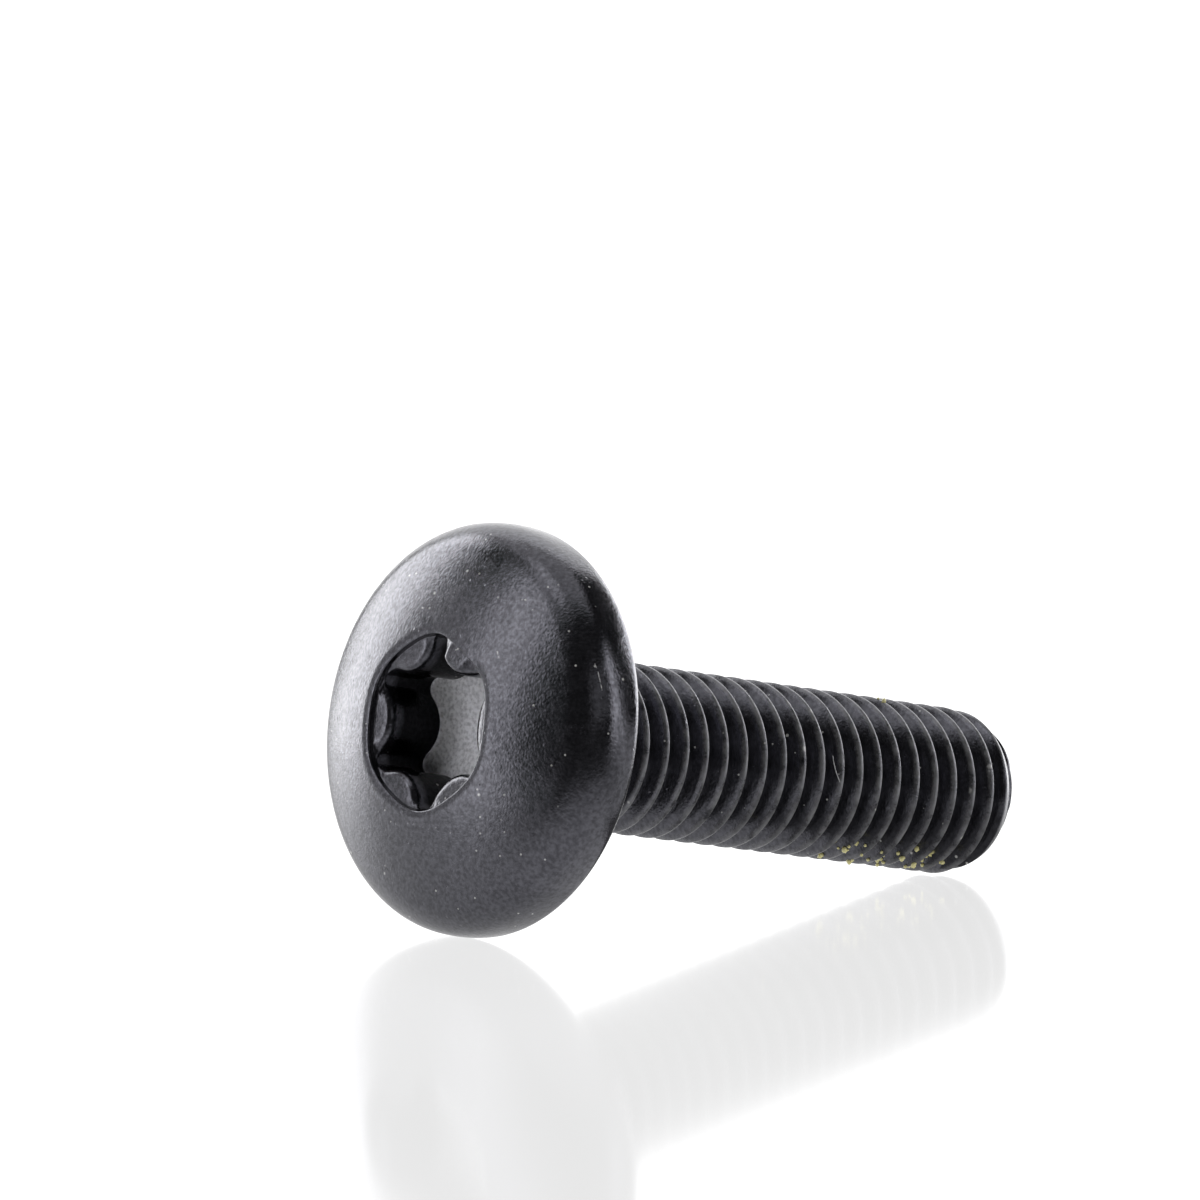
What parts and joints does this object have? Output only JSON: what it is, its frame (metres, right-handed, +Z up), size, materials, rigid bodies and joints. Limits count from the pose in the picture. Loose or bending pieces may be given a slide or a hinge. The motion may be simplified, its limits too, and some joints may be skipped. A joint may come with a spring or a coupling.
{
  "type": "hexalobular truss-head machine screw",
  "caption": "Black machine screw with a wide domed truss head, a lobed drive recess and a coarse right-hand thread from the head to the bevelled tip; clamps parts to a tapped hole or nut.",
  "frame": {"origin": "centre of the bearing face under the head, on the screw's axis", "axes": "the screw lies on a level surface; +Z is up, +X is the level direction from the head towards the tip, and +Y is to the left of it"},
  "size_m": [0.0356, 0.019, 0.0188],
  "materials": {
    "black_oxide_steel": "satin black oxide, finely granular"
  },
  "bodies": {
    "root": {"screw": "black_oxide_steel"}
  },
  "joints": []
}
